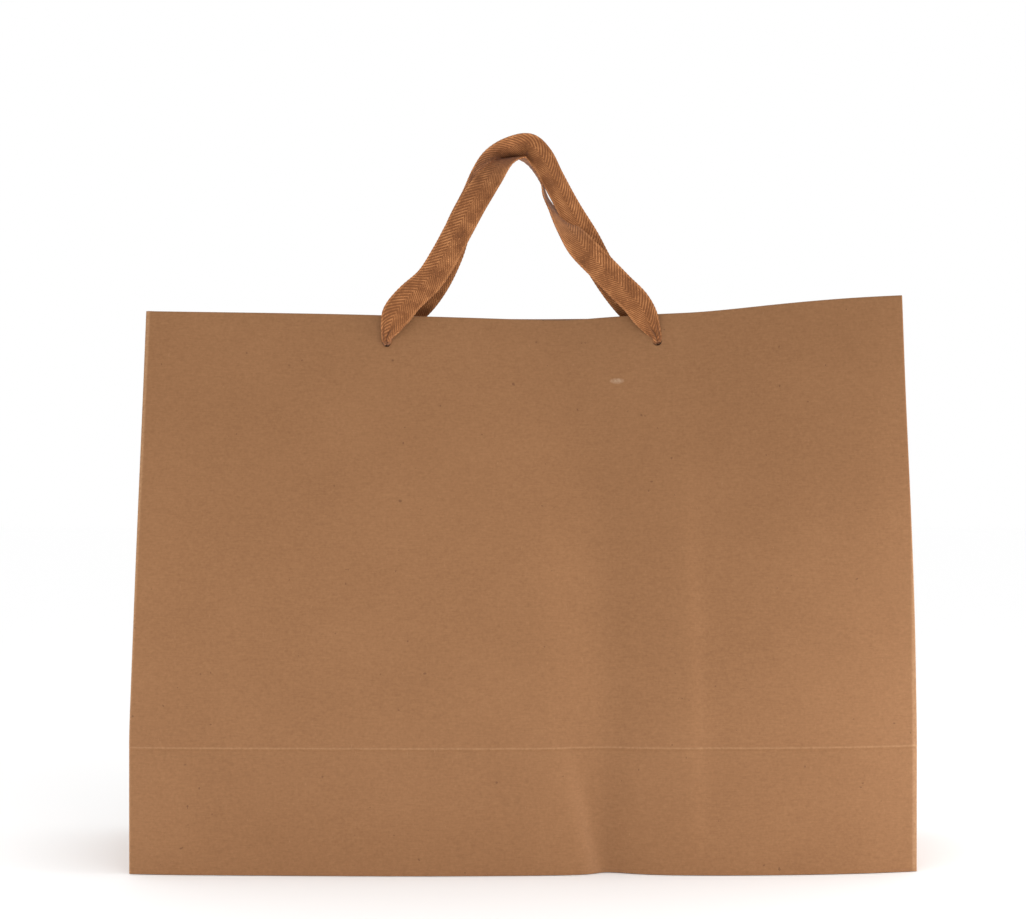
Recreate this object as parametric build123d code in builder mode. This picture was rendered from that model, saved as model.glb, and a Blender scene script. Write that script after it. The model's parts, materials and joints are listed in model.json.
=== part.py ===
# A paper gift bag standing open on its base, its mouth pinched towards one end, with two handles of
# cotton tape. Origin: middle of the underside. +X runs along the width, -Y is the front, +Z is up.
import os
from math import sqrt

from build123d import *

os.makedirs("parts", exist_ok=True)

# Paper body
bag_width = 400.0
bag_depth = 120.0
bag_height = 296.0  # along the paper, from the base to the top edge
fold_height = 64.4  # the line along which the base folds flat
paper = 0.4
seam_gap = 0.05  # between two glued or folded layers
corner_gap = 0.1  # between a wide panel and the gusset folded off it
seam_flap_width = 15.0

# Mouth: each wide panel leans in flat to within its gap of the bag's middle plane, then bends back out
# along two slanting folds that start together at the foot of its right edge
front_gap = 2.5
back_gap = 13.0
bend_starts = (88.0, 122.0)  # X where the two folds reach the top edge
front_bends = (13.0, 13.0)  # degrees
back_bends = (10.0, 10.0)

# Base
board = 1.2
board_clearance = 1.6
side_flap_length = 64.0
main_flap_overlap = 30.0

# Folded top edge and the card inside it
hem_depth = 40.0
card = 0.7
card_inset = 6.0
card_edge_gap = 1.2

# Handles
hole_spacing = 145.0
hole_drop = 15.6  # from the top edge down to the holes
hole_diameter = 4.6
hole_clearance = 0.3
tape_width = 14.0
tape_thickness = 0.7
bunch_radius = 1.6
bunch_width = 5.0
bunch_clearance = 0.6
front_rise = 96.0  # from the holes to the middle of the tape at the top of the loop
back_rise = 104.0
front_apex = 1.5  # X of the top of each loop
back_apex = 5.0
front_top_y = -1.6  # Y of the tape at the top of each loop
back_top_y = 0.6
taper_height = 14.0
knot_size = (13.0, 13.0, 7.0)
knot_clearance = 1.2
knot_rounding = 3.0
tail_length = 20.0
tail_thickness = 1.0

half_width = bag_width / 2
half_depth = bag_depth / 2
slant = bag_height - fold_height
half_spacing = hole_spacing / 2
card_outer = paper + seam_gap
card_inner = card_outer + card
lip_inner = card_inner + seam_gap
hem_inner = lip_inner + paper
gusset_depth = hem_inner + corner_gap + 2 * (paper + seam_gap)

# Each side: Y direction, gap, bends, rise of the tape, X of its top, Y of its top
sides = {
    "front": (-1, front_gap, front_bends, front_rise, front_apex, front_top_y),
    "back": (1, back_gap, back_bends, back_rise, back_apex, back_top_y),
}


def on_panel(side, gap, bends, u, v, depth, folded=2):
    """Where a point of the flat panel lies: u across it, v up it from the fold line, depth behind its
    outer face. `folded` says how many of the slanting folds lie to its left."""
    foot = Vector(half_width, side * half_depth, fold_height)
    lean = half_depth - gap
    up = Vector(0, -side * lean, sqrt(slant**2 - lean**2)) / slant
    offset = Vector(u - half_width, 0, 0) + up * v
    for start, angle in list(zip(bend_starts, bends))[:folded][::-1]:
        crease = (Vector(start - half_width, 0, 0) + up * slant).normalized()
        offset = offset.rotate(Axis((0, 0, 0), crease), side * angle)
    return foot + offset - Vector(0, side * depth, 0)


def panel_layer(side, gap, bends, outer, inner, left, right, low, high):
    """A layer of one wide panel between two depths, two positions across it and two heights up it."""
    folds = [left, *bend_starts, right]

    def across(index, v):
        if index in (0, 3):
            return folds[index]
        return min(right, half_width + (folds[index] - half_width) * v / slant)

    with BuildPart() as layer:
        for facet in range(3):
            if across(facet, high) >= right:
                break
            outline = [
                (across(facet, low), low),
                (across(facet + 1, low), low),
                (across(facet + 1, high), high),
                (across(facet, high), high),
            ]
            if abs(outline[1][0] - outline[0][0]) < 1e-6:
                del outline[0]
            corners = [on_panel(side, gap, bends, u, v, outer, facet) for u, v in outline]
            face = Face(Wire.make_polygon(corners, close=True))
            extrude(face, amount=inner - outer, dir=(0, -side, 0))
    return layer.part


def hole_plane(side, gap):
    """Plane on a panel's outer face at the height of its holes: X as the bag's, Y up the panel."""
    middle = on_panel(side, gap, (0, 0), 0, slant - hole_drop, 0, 0)
    up = middle - on_panel(side, gap, (0, 0), 0, 0, 0, 0)
    return Plane(origin=middle, x_dir=(1, 0, 0), z_dir=Vector(1, 0, 0).cross(up))


def punched(piece, side, gap):
    """The piece with the two handle holes through it."""
    with BuildPart() as result:
        add(piece)
        with BuildSketch(hole_plane(side, gap)):
            with Locations((-half_spacing, 0), (half_spacing, 0)):
                Circle(hole_diameter / 2)
        extrude(amount=10, both=True, mode=Mode.SUBTRACT)
    return result.part


def save(piece, name):
    piece.label = name
    export_step(piece, f"parts/{name}.step")


# Wide panels, the card that stiffens each top edge, and the hem folded down over it
for name, (side, gap, bends, *_) in sides.items():
    panel = panel_layer(side, gap, bends, 0, paper, -half_width, half_width, 0, slant)
    save(punched(panel, side, gap), f"{name}_panel")

    stiffener = panel_layer(
        side, gap, bends, card_outer, card_inner,
        -half_width + card_inset, half_width - card_inset,
        slant - hem_depth + card_edge_gap, slant - card_edge_gap,
    )
    save(punched(stiffener, side, gap), f"{name}_reinforcement_card")

    hem_left = -half_width + corner_gap
    hem_right = half_width - corner_gap
    with BuildPart() as hem:
        add(panel_layer(side, gap, bends, lip_inner, hem_inner, hem_left, hem_right, slant - hem_depth, slant))
        lip_low = slant - card_edge_gap + seam_gap
        add(panel_layer(side, gap, bends, card_outer, lip_inner, hem_left, hem_right, lip_low, slant))
    save(punched(hem.part, side, gap), f"{name}_top_hem")

    with BuildPart() as lower:
        with BuildSketch(Plane.XY):
            with Locations((0, side * (half_depth - paper / 2))):
                Rectangle(bag_width, paper)
        extrude(amount=fold_height - seam_gap)
    save(lower.part, f"{name}_panel_lower")

# Gussets: a flat lower part on each end, and above it two halves tucked in along a middle crease.
# Each half is creased from its foot corner to the top of the middle crease.
for end, x_sign in (("left", -1), ("right", 1)):
    with BuildPart() as lower:
        with BuildSketch(Plane.XY):
            with Locations((x_sign * (half_width - paper / 2), 0)):
                Rectangle(paper, bag_depth - 2 * (paper + corner_gap))
        extrude(amount=fold_height - seam_gap)
    save(lower.part, f"{end}_gusset_lower")

    edge = x_sign * half_width
    facet = 0 if end == "left" else 2
    corners = [
        on_panel(side, gap, bends, edge, slant, gusset_depth, facet)
        for side, gap, bends, *_ in sides.values()
    ]
    middle = (corners[0] + corners[1]) / 2
    tuck = sqrt(half_depth**2 - ((corners[1] - corners[0]).length / 2) ** 2)
    crease_x = middle.X - x_sign * tuck
    crease_rise = sqrt(slant**2 - (crease_x - edge) ** 2 - middle.Y**2)

    for corner, (name, (side, *_)) in zip(corners, sides.items()):
        step = Vector(0, side * corner_gap, 0)
        foot_corner = Vector(edge, side * (half_depth - gusset_depth), fold_height)
        foot_crease = Vector(edge, 0, fold_height) + step
        top_crease = Vector(crease_x, middle.Y, fold_height + crease_rise) + step
        hem_start = 1 - hem_depth / slant
        hem_corner = foot_corner + (corner - foot_corner) * hem_start
        hem_fold = foot_corner + (top_crease - foot_corner) * hem_start
        hem_crease = foot_crease + (top_crease - foot_crease) * hem_start
        inward = Vector(-x_sign, side, 0).normalized()
        outlines = {
            f"{end}_gusset_{name}": (0, (foot_corner, foot_crease, top_crease), (foot_corner, top_crease, corner)),
            f"{end}_gusset_{name}_hem": (
                paper + seam_gap,
                (hem_fold, hem_crease, top_crease),
                (hem_corner, hem_fold, top_crease, corner),
            ),
        }
        for node, (depth, *facets) in outlines.items():
            with BuildPart() as layer:
                for outline in facets:
                    face = Face(Wire.make_polygon([point + inward * depth for point in outline], close=True))
                    extrude(face, amount=paper, dir=inward)
            save(layer.part, node)

# Glued seam down the inside of the back panel's left edge, and its lower part
seam_outer = paper + seam_gap
seam_inner = seam_outer + paper
seam_left = -half_width + paper + corner_gap
seam_right = seam_left + seam_flap_width
side, gap, bends, *_ = sides["back"]
seam_top = slant - hem_depth - seam_gap
seam_flap = panel_layer(side, gap, bends, seam_outer, seam_inner, seam_left, seam_right, 0, seam_top)
save(seam_flap, "side_seam_flap")

base_top = 3 * paper + 2 * seam_gap
seam_foot = base_top + board + 2 * seam_gap
with BuildPart() as seam_flap_lower:
    with BuildSketch(Plane.XY.offset(seam_foot)):
        with Locations(((seam_left + seam_right) / 2, half_depth - (seam_outer + seam_inner) / 2)):
            Rectangle(seam_flap_width, paper)
    extrude(amount=fold_height - seam_gap - seam_foot)
save(seam_flap_lower.part, "side_seam_flap_lower")

# Base: two long flaps that overlap, the two short flaps over them, and a loose board on top
inner_half_depth = half_depth - paper - corner_gap
inner_half_width = half_width - paper - corner_gap
for index, (name, (side, *_)) in enumerate(sides.items()):
    with BuildPart() as flap:
        reach = inner_half_depth + main_flap_overlap / 2
        with BuildSketch(Plane.XY.offset(index * (paper + seam_gap))):
            with Locations((0, side * (inner_half_depth - reach / 2))):
                Rectangle(2 * inner_half_width, reach)
        extrude(amount=paper)
    save(flap.part, f"bottom_flap_{name}")

for name, x_sign in (("left", -1), ("right", 1)):
    with BuildPart() as flap:
        with BuildSketch(Plane.XY.offset(2 * (paper + seam_gap))):
            with Locations((x_sign * (inner_half_width - side_flap_length / 2), 0)):
                Rectangle(side_flap_length, 2 * inner_half_depth)
        extrude(amount=paper)
    save(flap.part, f"bottom_flap_{name}")

with BuildPart() as base_board:
    with BuildSketch(Plane.XY.offset(base_top + seam_gap)):
        Rectangle(bag_width - 2 * board_clearance, bag_depth - 2 * board_clearance)
    extrude(amount=board)
save(base_board.part, "base_board")

# Handles: a loop of tape on each panel, and a knot behind each hole with a stem through it
leg_shape = ((-0.97, 0.15), (-0.79, 0.385), (-0.5, 0.66), (-0.25, 0.9))
for name, (side, gap, bends, rise, apex, top_y) in sides.items():
    holes = hole_plane(side, gap)
    out = holes.z_dir * (1 if holes.z_dir.Y * side > 0 else -1)
    hinge = holes.origin + out * (bunch_radius + bunch_clearance)
    up = Vector(0, top_y - hinge.Y, rise).normalized()
    loop_plane = Plane(origin=hinge, x_dir=(1, 0, 0), z_dir=Vector(1, 0, 0).cross(up))
    left_leg = [(share * half_spacing, height * rise) for share, height in leg_shape]
    right_leg = [(-x, z) for x, z in reversed(left_leg)]
    with BuildPart() as tape:
        with BuildSketch(loop_plane):
            with BuildLine():
                Spline(*left_leg, (apex, rise), *right_leg, tangents=((0.2, 1), (0.2, -1)))
            trace(line_width=tape_width)
            for x_sign, (leg_x, leg_z) in ((-1, left_leg[0]), (1, right_leg[-1])):
                with BuildLine():
                    Polyline(
                        (x_sign * half_spacing - bunch_width / 2, 0),
                        (x_sign * half_spacing + bunch_width / 2, 0),
                        (leg_x + tape_width / 2, leg_z + 1),
                        (leg_x - tape_width / 2, leg_z + 1),
                        close=True,
                    )
                make_face()
        extrude(amount=tape_thickness / 2, both=True)
        for x_sign in (-1, 1):
            bunch_centre = hinge + Vector(x_sign * half_spacing, 0, 0)
            with BuildSketch(Plane(origin=bunch_centre, x_dir=(0, 1, 0), z_dir=(1, 0, 0))):
                Circle(bunch_radius)
            extrude(amount=bunch_width / 2, both=True)
    save(tape.part, f"{name}_handle_tape")

    width, height, depth = knot_size
    for end, x_sign in (("left", -1), ("right", 1)):
        knot_face = holes.origin - out * (hem_inner + knot_clearance) + Vector(x_sign * half_spacing, 0, 0)
        inside = Plane(origin=knot_face, x_dir=(1, 0, 0), z_dir=-out)
        upward = 1 if inside.y_dir.Z > 0 else -1
        with BuildPart() as knot:
            with BuildSketch(inside):
                RectangleRounded(width, height, knot_rounding)
            extrude(amount=depth)
            fillet(knot.faces().sort_by(Axis.Y)[0 if side > 0 else -1].edges(), knot_rounding / 2)
            with BuildSketch(inside):
                with Locations((0, -upward * (height + tail_length) / 2 + upward * knot_rounding)):
                    Rectangle(width - 2 * knot_rounding, tail_length)
            extrude(amount=tail_thickness)
            with BuildSketch(inside.offset(1)):
                Circle(hole_diameter / 2 - hole_clearance)
            extrude(amount=-(hem_inner + knot_clearance + 1))
        save(knot.part, f"{name}_{end}_knot")
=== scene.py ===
import json
import math

import bpy
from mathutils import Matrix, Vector


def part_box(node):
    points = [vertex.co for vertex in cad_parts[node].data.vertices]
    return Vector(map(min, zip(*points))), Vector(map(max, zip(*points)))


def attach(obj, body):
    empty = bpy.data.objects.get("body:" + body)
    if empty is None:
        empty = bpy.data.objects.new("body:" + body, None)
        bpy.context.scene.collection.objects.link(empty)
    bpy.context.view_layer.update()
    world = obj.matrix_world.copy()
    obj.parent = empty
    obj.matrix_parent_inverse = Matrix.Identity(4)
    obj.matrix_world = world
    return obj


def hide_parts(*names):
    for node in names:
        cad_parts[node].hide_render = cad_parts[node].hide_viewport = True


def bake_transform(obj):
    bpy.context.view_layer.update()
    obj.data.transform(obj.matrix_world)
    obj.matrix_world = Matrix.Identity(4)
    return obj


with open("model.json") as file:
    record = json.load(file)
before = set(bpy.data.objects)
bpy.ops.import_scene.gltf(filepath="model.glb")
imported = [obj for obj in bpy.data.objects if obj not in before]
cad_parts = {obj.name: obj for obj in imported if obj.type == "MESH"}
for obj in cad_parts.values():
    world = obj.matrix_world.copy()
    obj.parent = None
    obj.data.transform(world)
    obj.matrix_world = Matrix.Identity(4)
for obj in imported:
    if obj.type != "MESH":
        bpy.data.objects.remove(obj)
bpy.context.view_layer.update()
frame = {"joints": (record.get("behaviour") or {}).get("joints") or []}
mm = 0.001
hinges = {joint["name"]: Vector(joint["pos_m"]) for joint in frame["joints"]}
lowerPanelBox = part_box("front_panel_lower")
halfWidth = lowerPanelBox[1].x / mm
halfDepth = -lowerPanelBox[0].y / mm
foldHeight = hinges["front_panel_fold"].z / mm
sideSign = {"front": -1, "back": 1}
endSign = {"left": -1, "right": 1}
print("frame loaded")


# helpers that the pieces share; every length below is in millimetres until it becomes a vertex

def softStep(value):
    value = min(1.0, max(0.0, value))
    return value * value * (3 - 2 * value)


def bell(distance, width):
    return math.exp(-(distance / width) ** 2)


def follow(stations, x):  # a smooth curve through (x, value) stations
    if x <= stations[0][0]:
        return stations[0][1]
    if x >= stations[-1][0]:
        return stations[-1][1]
    index = next(i for i in range(1, len(stations)) if x <= stations[i][0])

    def slope(i):
        before = stations[max(i - 1, 0)]
        after = stations[min(i + 1, len(stations) - 1)]
        return (after[1] - before[1]) / (after[0] - before[0])

    x0, y0 = stations[index - 1]
    x1, y1 = stations[index]
    t = (x - x0) / (x1 - x0)
    rise = y0 * (2 * t ** 3 - 3 * t * t + 1) + y1 * (3 * t * t - 2 * t ** 3)
    lean = slope(index - 1) * (t ** 3 - 2 * t * t + t) + slope(index) * (t ** 3 - t * t)
    return rise + (x1 - x0) * lean


def evenly(start, end, count):
    return [start + (end - start) * i / count for i in range(count + 1)]


def finePast(start, end, count, edge=6.0):  # rows that crowd towards both ends
    fine = evenly(0, edge, 8)
    middle = evenly(start + edge, end - edge, count)[1:-1]
    return [start + f for f in fine] + middle + [end - f for f in reversed(fine)]


def clearSelection():
    bpy.ops.object.select_all(action="DESELECT")


def takeOnly(piece):
    clearSelection()
    piece.select_set(True)
    bpy.context.view_layer.objects.active = piece


def applyModifier(piece, kind, **settings):
    takeOnly(piece)
    modifier = piece.modifiers.new(kind.title(), kind)
    for name, value in settings.items():
        setattr(modifier, name, value)
    bpy.ops.object.modifier_apply(modifier=modifier.name)


def sheetPiece(name, us, vs, place, thickness, smooth=50):
    clearSelection()
    bpy.ops.mesh.primitive_grid_add(x_subdivisions=len(us) - 1, y_subdivisions=len(vs) - 1, size=1)
    piece = bpy.context.active_object
    piece.name = name
    piece.data.name = name
    spots = {}
    for vertex in piece.data.vertices:
        i = round((vertex.co.x + 0.5) * (len(us) - 1))
        j = round((vertex.co.y + 0.5) * (len(vs) - 1))
        spots[vertex.index] = (us[i], vs[j])
        vertex.co = Vector(place(us[i], vs[j])) * mm
    layer = piece.data.uv_layers[0]
    for loop in piece.data.loops:
        u, v = spots[loop.vertex_index]
        layer.data[loop.index].uv = (u * mm, v * mm)
    piece.data.update()
    if thickness:
        applyModifier(piece, "SOLIDIFY", thickness=thickness * mm, offset=-1)
    takeOnly(piece)
    bpy.ops.object.shade_smooth_by_angle(angle=math.radians(smooth))
    return piece


def settle(piece, carrier, nodes, finish):  # a piece that spans two bodies has no carrier
    if carrier:
        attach(piece, carrier)
    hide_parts(*nodes)
    piece.data.materials.clear()
    piece.data.materials.append(finish)


# camera and lamps

view = {"x": -4.8, "distance": 900.0, "height": 210.5, "lens": 62.34, "sensor": 36.0}
bpy.ops.object.camera_add(
    location=Vector((view["x"], -halfDepth - view["distance"], view["height"])) * mm,
    rotation=(math.pi / 2, 0, 0),
)
camera = bpy.context.active_object
camera.data.lens = view["lens"]
camera.data.sensor_width = view["sensor"]
bpy.context.scene.camera = camera

studio = {
    "lowStrip": {"at": (60, -520, 110), "size": (1200, 120), "power": 1.35, "aim": (60, -60, 110)},
    "rightBox": {"at": (720, -190, 110), "size": (160, 260), "power": 3.1, "aim": (180, -60, 90)},
    "leftBox": {"at": (-520, -150, 45), "size": (120, 90), "power": 0.42, "aim": (-180, -60, 40)},
}
room = {"fill": 0.42, "overhead": 1.95, "overheadSpread": 120.0}  # soft light straight down for the floor
bpy.context.scene.view_settings.view_transform = "Standard"
for name, box in studio.items():
    place = Vector(box["at"]) * mm
    aim = Vector(box["aim"]) * mm - place
    bpy.ops.object.light_add(type="AREA", location=place, rotation=aim.to_track_quat("-Z", "Y").to_euler())
    lamp = bpy.context.active_object
    lamp.name = name
    lamp.data.shape = "RECTANGLE"
    lamp.data.size = box["size"][0] * mm
    lamp.data.size_y = box["size"][1] * mm
    lamp.visible_camera = False
    lamp.data.energy = box["power"]
clearSelection()
bpy.ops.object.light_add(type="SUN", location=(0, 0, 3))
overhead = bpy.context.active_object
overhead.name = "overheadSoft"
overhead.data.energy = room["overhead"]
overhead.data.angle = math.radians(room["overheadSpread"])
print("camera and lamps placed")


# shader arithmetic

class Value:  # one socket, which can be added, multiplied and so on
    def __init__(self, tree, socket):
        self.tree = tree
        self.socket = socket

    def combine(self, operation, other=0.0, turned=False):
        node = self.tree.nodes.new("ShaderNodeMath")
        node.operation = operation
        for index, term in enumerate((other, self) if turned else (self, other)):
            if isinstance(term, Value):
                self.tree.links.new(term.socket, node.inputs[index])
            else:
                node.inputs[index].default_value = term
        return Value(self.tree, node.outputs[0])

    def __add__(self, other):
        return self.combine("ADD", other)

    __radd__ = __add__

    def __sub__(self, other):
        return self.combine("SUBTRACT", other)

    def __rsub__(self, other):
        return self.combine("SUBTRACT", other, turned=True)

    def __mul__(self, other):
        return self.combine("MULTIPLY", other)

    __rmul__ = __mul__

    def __truediv__(self, other):
        return self.combine("DIVIDE", other)

    def __abs__(self):
        return self.combine("ABSOLUTE")

    def over(self, other):
        return self.combine("GREATER_THAN", other)

    def wave(self):
        return self.combine("SINE")

    def atMost(self, other):
        return self.combine("MINIMUM", other)

    def atLeast(self, other):
        return self.combine("MAXIMUM", other)


class NodeMaker:  # adds nodes to one tree
    def __init__(self, tree):
        self.tree = tree

    def link(self, source, socket):
        self.tree.links.new(source.socket, socket)

    def node(self, kind, settings=None, sockets=None, output=0):
        node = self.tree.nodes.new(kind)
        for name, value in (settings or {}).items():
            if name == "stops":
                ramp = node.color_ramp
                while len(ramp.elements) < len(value):
                    ramp.elements.new(0.5)
                for element, (position, colour) in zip(ramp.elements, value):
                    element.position = position
                    element.color = (*colour, 1)
            else:
                setattr(node, name, value)
        for name, value in (sockets or {}).items():
            if isinstance(value, Value):
                self.link(value, node.inputs[name])
            elif isinstance(value, tuple) and len(value) == 3 and node.inputs[name].type == "RGBA":
                node.inputs[name].default_value = (*value, 1)
            else:
                node.inputs[name].default_value = value
        if output is None:  # every output, as a list
            return [Value(self.tree, socket) for socket in node.outputs]
        return Value(self.tree, node.outputs[output])


class Finish(NodeMaker):
    def __init__(self, name, roughness, specular=0.4, sheen=0.0):
        self.material = bpy.data.materials.new(name)
        self.material.use_nodes = True
        super().__init__(self.material.node_tree)
        self.shader = self.tree.nodes["Principled BSDF"]
        self.shader.inputs["Roughness"].default_value = roughness
        self.shader.inputs["Specular IOR Level"].default_value = specular
        self.shader.inputs["Sheen Weight"].default_value = sheen

    def noise(self, at, scale, detail=3.0, roughness=0.5):
        sockets = {"Vector": at, "Scale": scale, "Detail": detail, "Roughness": roughness}
        return self.node("ShaderNodeTexNoise", None, sockets)

    def stretched(self, at, scale):
        return self.node("ShaderNodeMapping", None, {"Vector": at, "Scale": scale})

    def mix(self, factor, first, second):
        settings = {"data_type": "RGBA"}
        return self.node("ShaderNodeMix", settings, {0: factor, 6: first, 7: second}, output=2)

    def parts(self, vector):
        return self.node("ShaderNodeSeparateXYZ", None, {0: vector}, output=None)

    def colour(self, value):
        self.link(value, self.shader.inputs["Base Color"])

    def rough(self, value):
        self.link(value, self.shader.inputs["Roughness"])

    def bump(self, height, distance, strength=1.0):
        sockets = {"Strength": strength, "Distance": distance, "Height": height}
        self.link(self.node("ShaderNodeBump", None, sockets), self.shader.inputs["Normal"])


world = bpy.data.worlds.new("studioRoom")  # the camera sees it white, and it lights the bag less
world.use_nodes = True
roomNodes = NodeMaker(world.node_tree)
seen = roomNodes.node("ShaderNodeLightPath", output="Is Camera Ray")
sky = world.node_tree.nodes["Background"]
sky.inputs["Color"].default_value = (1, 1, 1, 1)
roomNodes.link(seen * (1.0 - room["fill"]) + room["fill"], sky.inputs["Strength"])
bpy.context.scene.world = world


def srgb(red, green, blue):
    def straight(level):
        level /= 255
        return level / 12.92 if level <= 0.04045 else ((level + 0.055) / 1.055) ** 2.4
    return (straight(red), straight(green), straight(blue))


kraft = {
    "light": srgb(146, 104, 69),
    "mid": srgb(138, 97, 63),
    "dark": srgb(130, 90, 57),
    "speck": srgb(92, 60, 38),
    "fibre": srgb(196, 156, 118),
}
# painted highlights: a thin pale line along the base fold's ridge, and pale side edges on the wide panels
highlightLines = {"fold": 64.3, "foldReach": 0.7, "foldShare": 0.22, "side": 198.9, "sideShare": 0.35}
scuff = {"at": (50.8, 252.5), "reach": (4.2, 1.7), "tone": srgb(186, 160, 134)}


# a factor below 1 darkens the whole kraft colour ramp: painted shade
def kraftFinish(name, paintedShade=1.0, scuffedAndEdgeLit=False):
    finish = Finish(name, 0.62, specular=0.22)
    at = finish.node("ShaderNodeTexCoord", output=3)
    cloud = finish.noise(at, 22.0, 4.0, 0.55)
    grain = finish.noise(at, 700.0, 3.0, 0.6)
    fibres = finish.noise(finish.stretched(at, (260.0, 260.0, 1600.0)), 1.0, 2.0)
    crossFibres = finish.noise(finish.stretched(at, (1500.0, 300.0, 300.0)), 1.0, 2.0)
    tone = cloud * 0.22 + grain * 0.48 + fibres * 0.3
    body = finish.node("ShaderNodeValToRGB", {
        "stops": [
            (0.34, [c * paintedShade for c in kraft["dark"]]),
            (0.5, [c * paintedShade for c in kraft["mid"]]),
            (0.66, [c * paintedShade for c in kraft["light"]]),
        ],
    }, {"Fac": tone})
    paleFibre = (crossFibres - 0.7).atLeast(0.0) * 1.6
    speckle = finish.noise(at, 310.0, 1.0).over(0.79) * 0.55
    withFibre = finish.mix(paleFibre.atMost(0.4), body, kraft["fibre"])
    x, y, z = finish.parts(at)
    # painted highlight: a thin pale line along the lit ridge of the base fold
    foldHighlight = (1.0 - abs(z / mm - highlightLines["fold"]) / highlightLines["foldReach"]).atLeast(0.0) * highlightLines["foldShare"]
    paintedHighlight = foldHighlight
    if scuffedAndEdgeLit:  # painted highlight: the wide panels' side edges are made pale, for the grazing light along them
        paintedHighlight = foldHighlight + (abs(x / mm) - highlightLines["side"]).atLeast(0.0).atMost(1.0) * highlightLines["sideShare"]
    highlighted = finish.mix(paintedHighlight * (grain * 1.6), withFibre, kraft["fibre"])
    surface = finish.mix(speckle, highlighted, kraft["speck"])
    if scuffedAndEdgeLit:  # a small pale rub near the right hole, on the front only
        offX = (x / mm - scuff["at"][0]) / scuff["reach"][0]
        offZ = (z / mm - scuff["at"][1]) / scuff["reach"][1]
        near = (1.0 - offX * offX - offZ * offZ).atLeast(0.0)
        rubbed = near * (1.0 - y.over(0.0)) * (grain * 2.4 - 0.5).atLeast(0.0).atMost(1.0)
        surface = finish.mix(rubbed * 0.6, surface, scuff["tone"])
    finish.colour(surface)
    finish.rough(grain * 0.12 + 0.56)
    finish.bump(grain * 0.6 + fibres * 0.4, 0.00012, 0.35)
    return finish.material


def boardFinish():
    finish = Finish("greyBoard", 0.85, specular=0.2)
    at = finish.node("ShaderNodeTexCoord", output=3)
    flecks = finish.noise(at, 420.0, 4.0, 0.7)
    cloud = finish.noise(at, 30.0, 3.0)
    body = finish.node("ShaderNodeValToRGB", {
        "stops": [(0.35, srgb(138, 127, 112)), (0.52, srgb(163, 152, 136)), (0.7, srgb(186, 176, 160))],
    }, {"Fac": flecks * 0.6 + cloud * 0.4})
    finish.colour(body)
    finish.bump(flecks, 0.0002, 0.4)
    return finish.material


weave = {"width": 15.0, "thickness": 0.7, "ribPitch": 2.1, "steep": 1.9, "shallow": 1.05, "spine": 0.8}


def ribPhase(across, length):  # herringbone: the ribs run up to the spine from both edges, one side steeper
    lateral = across - weave["spine"]
    lean = weave["steep"] if lateral < 0 else weave["shallow"]
    return (length + abs(lateral) * lean) / weave["ribPitch"]


def tapeFinish():
    finish = Finish("cottonTape", 0.82, specular=0.2, sheen=0.12)
    uv = finish.node("ShaderNodeTexCoord", output=2)
    across, length, _ = finish.parts(uv)
    lateral = across / mm - weave["spine"]
    onLeft = 1.0 - lateral.over(0.0)
    lean = onLeft * (weave["steep"] - weave["shallow"]) + weave["shallow"]
    phase = (length / mm + abs(lateral) * lean) / weave["ribPitch"]
    rib = (phase * (2 * math.pi)).wave() * 0.5 + 0.5
    yarn = ((length / mm - abs(lateral) * 1.3) * (2 * math.pi / 0.75)).wave() * 0.5 + 0.5
    fuzz = finish.noise(uv, 2600.0, 3.0, 0.7)
    drift = finish.noise(uv, 120.0, 3.0, 0.6)
    selvedge = (abs(across / mm) - (weave["width"] / 2 - 1.1)).over(0.0)
    glint = (finish.noise(finish.stretched(uv, (1400.0, 500.0, 1.0)), 1.0, 2.0) - 0.62).atLeast(0.0) * 1.6
    patchy = (drift * 2.0 - 0.5).atLeast(0.2).atMost(1.0)  # the ribs show more in some places
    # in the colour the rib wave is painted shade in the grooves and a painted highlight on the rib tops; the
    # bump uses it as relief
    tone = (rib - 0.5) * patchy * 0.34 + yarn * 0.10 + fuzz * 0.30 + drift * 0.44
    tone = tone + selvedge * 0.08 + glint + 0.08
    finish.colour(finish.node("ShaderNodeValToRGB", {
        "stops": [(0.30, srgb(78, 43, 21)), (0.5, srgb(136, 84, 46)), (0.70, srgb(188, 128, 80))],
    }, {"Fac": tone}))
    finish.bump(yarn * 0.35 + fuzz * 0.4 + rib * 0.25, 0.0002, 0.6)
    return finish.material


paperFinish = kraftFinish("kraftPaper", scuffedAndEdgeLit=True)
# the gussets get a 2% darker copy of the same kraft: painted shade on the side walls
shadedGussetFinish = kraftFinish("kraftPaperGussetShaded", 0.98)
baseFinish = kraftFinish("kraftPaperBase", 1.0)
greyBoard = boardFinish()
cottonTape = tapeFinish()
print("finishes made")


# the paper body, as one shape that every wall piece is cut from

body = {
    "height": 296.0,
    "paper": 0.4,
    "hemDepth": 40.0,
    "layers": 1.6,  # panel, card and hem together
    "corner": 0.9,  # radius at the folded edges
    "foldEase": 0.035,  # how gradually the panels start to lean above the base fold
    "tuck": 0.45,  # how far the narrow strip of a wide panel goes in behind the base band
}
hem = {"inset": 0.6}  # the folded edge stops this short of the panel's sides
card = {"thickness": 0.7, "behind": 0.45, "inset": 6.0, "bottomGap": 2.4, "topGap": 2.2}
holes = {"spacing": 145.0, "radius": 2.3, "lean": 14.0, "drop": 0.6, "drill": 14.0}
slant = body["height"] - foldHeight
leans = {  # how far the top edge leans in from the base, across the bag
    "front": [(-200, 52.0), (-130, 55.2), (-72, 57.6), (-28, 60.0), (10, 62.6), (27, 63.2), (50, 59.4),
              (72, 55.6), (96, 51.2), (116, 44.9), (136, 37.2), (156, 29.3), (175, 21.6), (200, 11.8)],
    "back": [(-200, 50.0), (-130, 48.6), (-72, 47.6), (20, 46.4), (72, 46.6), (110, 39.0), (150, 27.0),
             (200, 13.0)],
}
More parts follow.
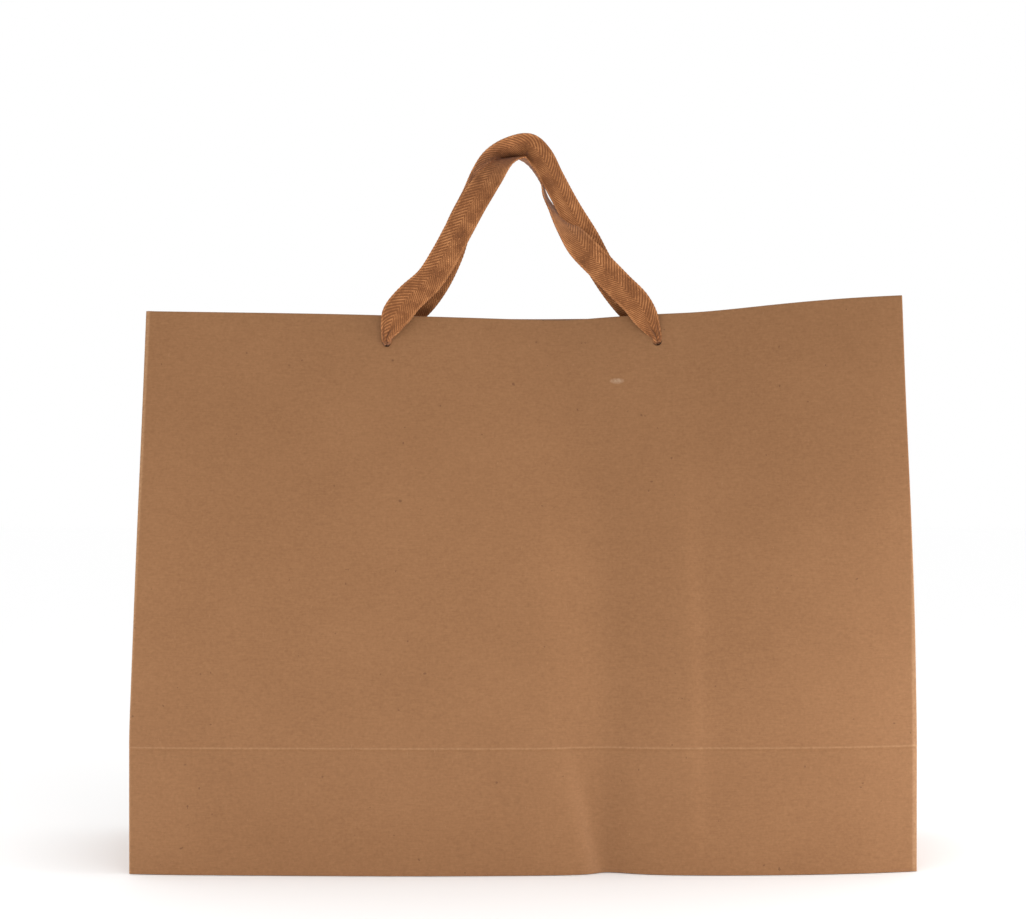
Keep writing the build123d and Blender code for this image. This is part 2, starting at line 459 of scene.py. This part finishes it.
drops = {  # how far the top edge sags below a straight line
    "front": [(-200, 0.0), (-110, 0.1), (-40, 0.8), (20, 1.2), (56, 0.8), (76, 0.7), (110, 1.0), (160, 0.6),
              (200, 0.6)],
    "back": [(-200, 0.6), (-130, 1.4), (-72, 2.6), (10, 4.0), (72, 3.0), (130, 1.2), (200, 0.4)],
}
topSpan = (-201.6, 195.6)
bulge = {  # outward of the flat base line along the underside, front and back
    "front": [(-200, -1.4), (-150, 0.2), (-60, 2.2), (0, 1.2), (24, -0.2), (43, -2.6), (58, -1.0), (90, 0.6),
              (120, 0.3), (160, -1.8), (200, -4.6)],
    "back": [(-200, -1.2), (-100, 1.2), (40, 1.6), (130, 0.6), (200, -2.6)],
}


def frontDents(x, v):  # soft folds and hollows, outward in millimetres
    up = v - foldHeight
    rib = -0.75 * math.tanh((x - 90) / 3.8) * bell(x - 90, 26) * softStep((250 - v) / 110) * softStep(v / 30)
    blob = -1.4 * math.tanh((x - 20) / 13) * bell(x - 24, 42) * bell(v - 128, 62)
    valleyX = 43 - 0.26 * v
    reach = x - valleyX
    valley = -3.6 * bell(reach, 6.5 if reach < 0 else 17) * softStep((98 - v) / 90)
    ripple = 0.28 * math.sin(x / 31 + v / 70) * softStep(up / 60 + 1) * softStep((body["height"] - v) / 40)
    edgeRoll = -2.0 * softStep((x - 120) / 80) ** 2 * softStep((240 - v) / 150)
    rightTurn = -1.9 * max(0.0, (x - 168) / 32) ** 2
    leftTurn = -1.3 * max(0.0, (-168 - x) / 32) ** 2 * softStep((190 - v) / 120)
    hollow = -0.9 * bell(x + 178, 34) * bell(v - 238, 60)
    foot = 0.9 * bell(v - 34, 24) * bell(x + 70, 110)
    return rib + blob + valley + ripple + edgeRoll + rightTurn + leftTurn + hollow + foot


def backDents(x, v):
    ripple = 0.5 * math.sin(x / 37 + 1.3) * bell(v - 150, 90) + 0.3 * math.sin(x / 60 - v / 45)
    valley = -1.4 * bell(x + 60 + 0.2 * v, 9) * softStep((70 - v) / 70)
    return ripple + valley


dents = {"front": frontDents, "back": backDents}


def wallPoint(side, u, v, depth=0.0):
    # u across, v up the paper from the base, depth behind the outer face
    share = (u + halfWidth) / (2 * halfWidth)
    edge = halfWidth - abs(u)
    outward = follow(bulge[side], u) * softStep(1.15 - v / body["height"]) + dents[side](u, v)
    if v <= foldHeight:
        x, y, z = u, halfDepth, v
    else:
        s = (v - foldHeight) / slant
        ease = body["foldEase"]
        lean = follow(leans[side], u)
        run = (s - ease * (1 - math.exp(-s / ease))) / (1 - ease * (1 - math.exp(-1 / ease)))
        top = topSpan[0] + share * (topSpan[1] - topSpan[0])
        pull = s if u < 0 else s ** 1.6
        x = u + (top - u) * pull
        y = halfDepth - lean * run
        z = foldHeight + math.sqrt(slant ** 2 - lean ** 2) * s - follow(drops[side], u) * s ** 3
    x += 1.9 * softStep((u - 130) / 70) * softStep((262 - v) / 150)
    outward += 0.2 * bell(v - foldHeight + 0.3, 0.7) - 0.2 * bell(v - foldHeight + 1.9, 0.8)  # pressed crease
    if edge < body["corner"]:
        outward -= body["corner"] - math.sqrt(body["corner"] ** 2 - (body["corner"] - edge) ** 2)
    return (x, sideSign[side] * (y + outward - depth), z)


def rolledPoint(side, u, length):
    # length runs along the paper from the start of the rounded top fold, over it and down the inside
    radius = body["layers"] / 2
    top = wallPoint(side, u, body["height"] - radius)
    angle = min(math.pi, length / radius)
    down = max(0.0, length - math.pi * radius)
    if down:
        return wallPoint(side, u, body["height"] - radius - down, body["layers"])
    shift = radius * (1 - math.cos(angle))
    return (top[0], top[1] - sideSign[side] * shift, top[2] + radius * math.sin(angle))


def columnsAcross(side, left, right, count):  # in the order that turns the sheet's face outwards
    columns = finePast(left, right, count, 1.6)
    return columns if side == "front" else columns[::-1]


topRadius = body["layers"] / 2
quarterRoll = math.pi / 2 * topRadius


def panelPoint(side, u, v):
    start = body["height"] - topRadius
    if v > start:
        return rolledPoint(side, u, v - start)
    tuck = body["tuck"] * softStep((foldHeight - v) / 0.6)
    return wallPoint(side, u, v, tuck)


def punchHoles(piece, side):
    hinge = hinges[f"{side}_handle_swing"] / mm
    for sign in endSign.values():
        clearSelection()
        spot = Vector((sign * holes["spacing"] / 2, hinge.y, hinge.z - holes["drop"])) * mm
        tilt = math.pi / 2 + sideSign[side] * math.radians(holes["lean"])
        bpy.ops.mesh.primitive_cylinder_add(
            vertices=28, radius=holes["radius"] * mm, depth=holes["drill"] * mm, location=spot,
            rotation=(tilt, 0, 0),
        )
        drill = bpy.context.active_object
        applyModifier(piece, "BOOLEAN", object=drill, operation="DIFFERENCE", solver="EXACT")
        bpy.data.objects.remove(drill)


for side in sideSign:
    panelName = f"{side}_panel"
    rows = [foldHeight - step for step in (2.0, 1.3, 0.6, 0.3)]
    rows += finePast(foldHeight, body["height"] - topRadius, 96, 5.0)
    rows += [body["height"] - topRadius + quarterRoll * i / 5 for i in range(1, 6)]
    columns = columnsAcross(side, -halfWidth, halfWidth, 170)
    panel = sheetPiece(f"{side}_wall", columns, rows, lambda u, v: panelPoint(side, u, v), body["paper"])
    hemRows = evenly(quarterRoll, 2 * quarterRoll, 5) + evenly(2 * quarterRoll, body["hemDepth"], 16)[1:]
    hemHalf = halfWidth - hem["inset"]
    hemSheet = sheetPiece(
        f"{side}_hem", columnsAcross(side, -hemHalf, hemHalf, 110), hemRows,
        lambda u, v: rolledPoint(side, u, v), body["paper"],
    )
    cardHalf = halfWidth - card["inset"]
    cardFoot = body["height"] - body["hemDepth"] + card["bottomGap"]
    cardRows = evenly(cardFoot, body["height"] - card["topGap"], 10)
    cardSheet = sheetPiece(
        f"{side}_card", columnsAcross(side, -cardHalf, cardHalf, 80), cardRows,
        lambda u, v: wallPoint(side, u, v, card["behind"]), card["thickness"],
    )
    for piece in (panel, hemSheet, cardSheet):
        punchHoles(piece, side)
        takeOnly(piece)
        bpy.ops.object.shade_smooth_by_angle(angle=math.radians(50))
    settle(panel, panelName, [panelName], paperFinish)
    settle(hemSheet, panelName, [f"{side}_top_hem"], paperFinish)
    settle(cardSheet, panelName, [f"{side}_reinforcement_card"], greyBoard)
    lowerRows = evenly(0, 5, 6) + evenly(5, foldHeight - 5, 26)[1:-1] + evenly(foldHeight - 5, foldHeight, 10)
    lower = sheetPiece(
        f"{side}_lower_panel", columns, lowerRows, lambda u, v: wallPoint(side, u, v), body["paper"],
    )
    settle(lower, "base", [f"{side}_panel_lower"], paperFinish)
print("wide panels made")


# gussets: a flat lower part, and two halves tucked in along a middle crease

def cornerEdge(side, end, v):
    x, y, z = wallPoint(side, endSign[end] * halfWidth, v)
    return Vector((x, y, z))


def creaseFoot(end):
    return (cornerEdge("front", end, foldHeight) + cornerEdge("back", end, foldHeight)) / 2


def middleTop(end):
    front = cornerEdge("front", end, body["height"])
    back = cornerEdge("back", end, body["height"])
    middle = (front + back) / 2
    tuck = math.sqrt(halfDepth ** 2 - ((back - front).length / 2) ** 2)
    x = middle.x - endSign[end] * tuck
    foot = creaseFoot(end)
    rise = math.sqrt(slant ** 2 - (x - foot.x) ** 2 - (middle.y - foot.y) ** 2)
    return Vector((x, middle.y, foldHeight + rise))


wrap = 0.03  # how far past its edge a gusset half reaches round the panel's layers


def gussetPoint(side, end, w, v):
    # w runs from the panel's edge (0) to the middle crease (1), and below 0 it wraps the panel's layers
    inset = 0.1 + body["layers"] * softStep((v - foldHeight) / slant * 1.2) * min(1.0, 1 + w / wrap)
    w = max(0.0, w)
    edge = cornerEdge(side, end, max(v, foldHeight)) - Vector((0, sideSign[side] * inset, 0))
    footEdge = cornerEdge(side, end, foldHeight)
    topEdge = cornerEdge(side, end, body["height"]) - Vector((0, sideSign[side] * body["layers"], 0))
    footCrease = creaseFoot(end)
    topCrease = middleTop(end)
    s = (v - foldHeight) / slant
    ruled = edge.lerp(footCrease.lerp(topCrease, s), w)
    if w > s:
        folded = footEdge + (footCrease - footEdge) * w + (topCrease - footCrease) * s
    else:
        folded = edge + (topCrease - topEdge) * w
    soft = 0.55 * softStep(w * 4) * softStep((1 - w) * 4)
    point = ruled.lerp(folded, soft)
    slack = 1.2 * math.sin(math.pi * w) * math.sin(math.pi * min(1, max(0, s)))
    return point + Vector((endSign[end] * slack * 0.6, 0, 0))


def creaseLine(end, side):  # two points on each line that the half hangs between
    edgeFoot = cornerEdge(side, end, foldHeight)
    edgeTop = cornerEdge(side, end, body["height"])
    foot = creaseFoot(end)
    creaseTop = middleTop(end)
    between = (edgeTop - edgeFoot).cross(creaseTop - foot).normalized()
    apart = (edgeFoot - foot).dot(between)
    return foot * mm, (foot + between * apart) * mm


def outwardColumns(side, end, count):
    columns = [-wrap, -wrap / 2] + evenly(0, 1, count)
    towardsCrease = (side == "front") == (end == "right")
    return columns if towardsCrease else columns[::-1]


for end in endSign:
    ends = evenly(-1, 1, 56)
    columns = ends if end == "right" else ends[::-1]

    def lowerPoint(t, v):
        front = cornerEdge("front", end, v)
        back = cornerEdge("back", end, v)
        point = front.lerp(back, (t + 1) / 2)
        y = abs(t) * halfDepth
        groove = 0.3 * bell(y - (halfDepth - v), 1.0) * softStep(v / 6)
        middle = 0.3 * bell(y, 1.0) * softStep((v - 52) / 6)
        belly = 1.1 * math.sin(math.pi * (t + 1) / 2) * math.sin(math.pi * min(1, v / foldHeight))
        return point + Vector((endSign[end] * (belly - groove - middle), 0, 0))

    rows = evenly(0, foldHeight, 46)
    lower = sheetPiece(f"{end}_lower_gusset", columns, rows, lowerPoint, body["paper"])
    settle(lower, "base", [f"{end}_gusset_lower"], shadedGussetFinish)
    for side in sideSign:
        bendStart, bendEnd = creaseLine(end, side)
        columns = outwardColumns(side, end, 40)
        rows = finePast(foldHeight - 5.0, body["height"], 60, 6.0)

        def halfPoint(w, v):
            point = gussetPoint(side, end, w, v)
            below = max(0.0, foldHeight - v)
            return point - Vector((endSign[end] * softStep(below / 1.2) * 0.5, 0, 0))

        half = sheetPiece(f"{end}_{side}_gusset", columns, rows, halfPoint, body["paper"])
        hemRows = evenly(body["height"] - body["hemDepth"], body["height"] - 0.05, 12)
        hemSheet = sheetPiece(
            f"{end}_{side}_gusset_hem", outwardColumns(side, end, 30), hemRows,
            lambda w, v: gussetPoint(side, end, 0.015 + 0.97 * w, v), 0,
        )
        for vertex in hemSheet.data.vertices:
            vertex.co -= vertex.normal * 0.5 * mm
        applyModifier(hemSheet, "SOLIDIFY", thickness=body["paper"] * mm, offset=-1)
        settle(half, None, [f"{end}_gusset_{side}"], shadedGussetFinish)
        settle(hemSheet, None, [f"{end}_gusset_{side}_hem"], shadedGussetFinish)
        for piece in (half, hemSheet):
            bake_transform(piece)
print("gussets made")


# glued seam inside the back panel's left edge

seam = {"left": -halfWidth + 0.9, "width": 15.0, "behind": 0.85}
seamColumns = evenly(seam["left"], seam["left"] + seam["width"], 10)
seamRows = evenly(foldHeight + 0.3, body["height"] - body["hemDepth"] - 0.5, 60)


def seamPoint(u, v):
    return wallPoint("back", u, v, seam["behind"])


flap = sheetPiece("seam_flap", seamColumns, seamRows, seamPoint, body["paper"])
settle(flap, "back_panel", ["side_seam_flap"], paperFinish)
lowerRows = evenly(3.0, foldHeight - 0.3, 30)
flap = sheetPiece("seam_flap_lower", seamColumns, lowerRows, seamPoint, body["paper"])
settle(flap, "base", ["side_seam_flap_lower"], paperFinish)


# the base: two long flaps, two short ones, and the loose board

base = {"gap": 0.05, "overlap": 30.0, "shortFlap": 64.0, "board": 1.2, "boardGap": 1.6}


def floorPoint(x, t, z, margin):  # t runs from the back wall (0) to the front wall (1)
    front = wallPoint("front", x, 0, body["paper"] + margin)[1]
    back = wallPoint("back", x, 0, body["paper"] + margin)[1]
    return (x, back + (front - back) * t, z)


layer = body["paper"] + base["gap"]
innerHalf = halfWidth - 0.6
flaps = {
    "front": ((-innerHalf, innerHalf), (1 - (halfDepth + base["overlap"] / 2) / (2 * halfDepth), 1), 0),
    "back": ((-innerHalf, innerHalf), (0, (halfDepth + base["overlap"] / 2) / (2 * halfDepth)), 1),
    "left": ((-innerHalf, -innerHalf + base["shortFlap"]), (0, 1), 2),
    "right": ((innerHalf - base["shortFlap"], innerHalf), (0, 1), 2),
}
for name, (xs, ts, level) in flaps.items():
    sheet = sheetPiece(
        f"base_flap_{name}", evenly(*xs, 70), evenly(*ts, 12),
        lambda x, t: floorPoint(x, t, level * layer, 0.12), body["paper"],
    )
    settle(sheet, "base", [f"bottom_flap_{name}"], baseFinish)
boardHalf = halfWidth - base["boardGap"]
board = sheetPiece(
    "base_board_insert", evenly(-boardHalf, boardHalf, 90), evenly(0, 1, 20),
    lambda x, t: floorPoint(x, t, 3 * layer, base["boardGap"]), base["board"],
)
settle(board, "base", ["base_board"], greyBoard)
print("base made")


# tape: a flat strip led through stations, bunched in pleats where it is narrow

def sweptTape(name, stations, normal=None, finePitch=0.55):
    # stations: x, z, y, twist in degrees, width; a twist turns the outer edge towards the front
    spots = [Vector((x, y, z)) for x, z, y, *_ in stations]
    reach = [0.0]
    for one, two in zip(spots, spots[1:]):
        reach.append(reach[-1] + (two - one).length)
    lines = [list(zip(reach, [values[i] for values in stations])) for i in range(5)]
    rows = evenly(0, reach[-1], round(reach[-1] / finePitch))
    centres = [Vector((follow(lines[0], r), follow(lines[2], r), follow(lines[1], r))) for r in rows]
    frames = {}
    for index, row in enumerate(rows):
        before = centres[max(index - 1, 0)]
        after = centres[min(index + 1, len(rows) - 1)]
        ahead = (after - before).normalized()
        if normal is None:
            outer = ahead.cross(Vector((0, 1, 0))).normalized()
        else:  # a knot stands on its panel, but goes through the hole along the normal
            through = softStep((abs(ahead.dot(normal)) - 0.6) / 0.35)
            guide = normal.lerp(Vector((1, 0, 0)), through)
            outer = (guide - ahead * guide.dot(ahead)).normalized()
        face = outer.cross(ahead).normalized()
        twist = math.radians(follow(lines[3], row))
        edge = outer * math.cos(twist) + face * math.sin(twist)
        frames[row] = (centres[index], edge, edge.cross(ahead).normalized(), follow(lines[4], row))

    def place(t, row):
        centre, edge, face, width = frames[row]
        spare = max(0.0, 1 - width / weave["width"])
        pleat = spare * 1.5 * math.cos(t * math.pi * 2.6 + 0.7) * (1 - 0.25 * t)
        cup = 0.25 * (t * t - 0.4) * (1 - spare)
        rib = 0.08 * math.sin(2 * math.pi * ribPhase(t * weave["width"] / 2, row)) * (1 - spare)
        return centre + edge * (t * width / 2) + face * (pleat + cup + rib)

    columns = evenly(-1, 1, 34)
    piece = sheetPiece(name, columns, rows, place, weave["thickness"], smooth=60)
    layer = piece.data.uv_layers[0]
    for spot in layer.data:
        spot.uv.x *= weave["width"] / 2
    return piece


loops = {
    "front": [
        (-72.6, 273.2, -8.4, 0, 4.4), (-72.3, 276.4, -8.1, 0, 6.2), (-70.4, 281.6, -7.6, 0, 11.4),
        (-67.2, 288.4, -7.0, 0, 15.6), (-60.8, 296.6, -6.6, 0, 15.6), (-49.8, 307.0, -6.4, 2, 15.0),
        (-41.8, 319.3, -6.0, 0, 15.0), (-33.6, 334.6, -5.2, 0, 15.0), (-25.2, 350.0, -4.4, 5, 15.0),
        (-16.4, 363.0, -3.2, 28, 15.0), (-9.0, 371.2, -0.8, 58, 15.0), (-2.0, 373.8, 4.0, 84, 15.0),
        (3.0, 371.8, 6.6, 88, 15.0), (7.2, 366.8, 7.2, 88, 15.0), (10.8, 360.0, 6.2, 86, 15.0),
        (13.4, 352.2, 4.0, 78, 15.0), (18.2, 343.6, 0.2, 68, 15.0),
        (25.0, 333.6, -4.4, 40, 15.0), (32.6, 323.8, -6.2, 6, 15.0),
        (42.6, 313.6, -6.4, 0, 15.0), (53.0, 303.0, -6.4, 0, 15.0), (60.8, 295.2, -6.6, 0, 15.0),
        (66.0, 287.4, -7.0, 0, 13.8), (69.6, 281.2, -7.6, 0, 9.8), (71.8, 277.0, -8.1, 0, 6.0),
        (72.5, 273.4, -8.4, 0, 4.4),
    ],
    "back": [
        (-72.5, 275.4, 18.4, 0, 4.4), (-71.4, 279.4, 18.6, 0, 6.0), (-67.6, 285.6, 18.0, 0, 10.0),
        (-58.5, 293.4, 16.6, 0, 15.0), (-48.2, 305.6, 14.2, 0, 15.0), (-40.0, 321.6, 11.4, -6, 15.0),
        (-34.4, 338.0, 9.0, -30, 15.0), (-28.6, 353.4, 7.0, -56, 15.0), (-23.8, 366.0, 5.4, -66, 15.0),
        (-17.6, 374.0, 4.0, -62, 15.0), (-8.2, 378.8, 2.2, -52, 15.0), (3.6, 380.2, -0.6, -36, 14.0),
        (10.4, 373.8, -1.8, -16, 13.2), (16.0, 363.2, -2.2, 0, 12.6), (25.0, 346.6, -1.0, 0, 12.8),
        (34.4, 330.0, 2.4, 0, 15.0), (42.0, 316.6, 6.2, 0, 15.0), (50.8, 303.8, 10.4, 0, 15.0),
        (59.6, 293.0, 14.4, 0, 14.0), (67.4, 284.6, 17.2, 0, 10.0), (71.2, 279.4, 18.4, 0, 6.0),
        (72.5, 275.4, 18.4, 0, 4.4),
    ],
}
# opening: the angle, in radians, that the knot leaves free at each end
knot = {"turns": 11, "size": 1.5, "opening": 0.55, "depth": 8.0, "width": 5.4}


def knotStations(side, sign):
    hinge = hinges[f"{side}_handle_swing"] / mm
    inward = -sideSign[side]
    lean = math.radians(holes["lean"])

    def at(x, back, up):  # back: into the bag from the hole's mouth; up: along the panel
        y = hinge.y + inward * (back * math.cos(lean) + up * math.sin(lean))
        z = hinge.z - back * math.sin(lean) + up * math.cos(lean)
        return (sign * holes["spacing"] / 2 + x, z, y)

    stations = [(*at(0, -0.4, 0), 0, 4.0), (*at(0, 1.5, -0.3), 0, 4.2), (*at(0, 4.6, 0), 0, 4.2)]
    for index in range(knot["turns"] + 1):
        angle = knot["opening"] + (2 * math.pi - 2 * knot["opening"]) * index / knot["turns"]
        x = (math.sin(angle) + 2 * math.sin(2 * angle)) * knot["size"]
        up = (math.cos(angle) - 2 * math.cos(2 * angle)) * knot["size"] - 0.4
        back = knot["depth"] - math.sin(3 * angle) * knot["size"]
        stations.append((*at(x, back, up), 0, knot["width"]))
    stations += [
        (*at(-3.0, 7.6, -7.5), 40, 6.0), (*at(-2.0, 7.0, -11.0), 80, 10.0), (*at(-1.0, 6.6, -16.0), 90, 14.0),
        (*at(-0.5, 6.4, -20.5), 90, 15.0),
    ]
    return stations


for side in sideSign:
    loop = sweptTape(f"{side}_tape", loops[side])
    settle(loop, f"{side}_handle", [f"{side}_handle_tape"], cottonTape)
    holeLean = math.radians(holes["lean"])
    inwards = Vector((0, -sideSign[side] * math.cos(holeLean), -math.sin(holeLean)))
    for end, sign in endSign.items():
        knotted = sweptTape(f"{side}_{end}_knotted_tape", knotStations(side, sign), inwards, 0.8)
        settle(knotted, f"{side}_panel", [f"{side}_{end}_knot"], cottonTape)
print("handles made")


# floor

clearSelection()
ground = {"size": 9.0, "below": 0.0003}  # metres
bpy.ops.mesh.primitive_plane_add(size=ground["size"], location=(0, 0, -ground["below"]))
floor = bpy.context.active_object
floor.name = "studioFloor"
floorFinish = Finish("paleFloor", 0.9, specular=0.1)
floorFinish.shader.inputs["Base Color"].default_value = (0.97, 0.97, 0.97, 1)
floor.data.materials.append(floorFinish.material)
print("floor laid")
